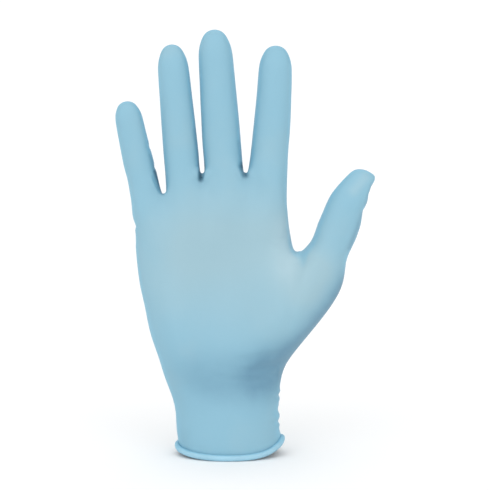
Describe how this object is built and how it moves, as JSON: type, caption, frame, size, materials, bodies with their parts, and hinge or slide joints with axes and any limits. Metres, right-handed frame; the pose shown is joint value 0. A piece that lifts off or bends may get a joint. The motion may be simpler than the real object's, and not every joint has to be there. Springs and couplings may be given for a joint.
{
  "type": "nitrile exam glove",
  "caption": "Thin dipped glove filled out as when worn open, palm forward, with closed fingertips and a rolled bead round the wrist mouth.",
  "frame": {"origin": "middle of the wrist mouth, where the glove sits on a wrist", "axes": "+Z along the hand to the middle fingertip, palm towards -Y, thumb towards +X"},
  "size_m": [0.1417, 0.0476, 0.2362],
  "materials": {
    "film": "satin, pale blue dipped nitrile"
  },
  "bodies": {
    "root": {"glove_film": "film"}
  },
  "joints": []
}
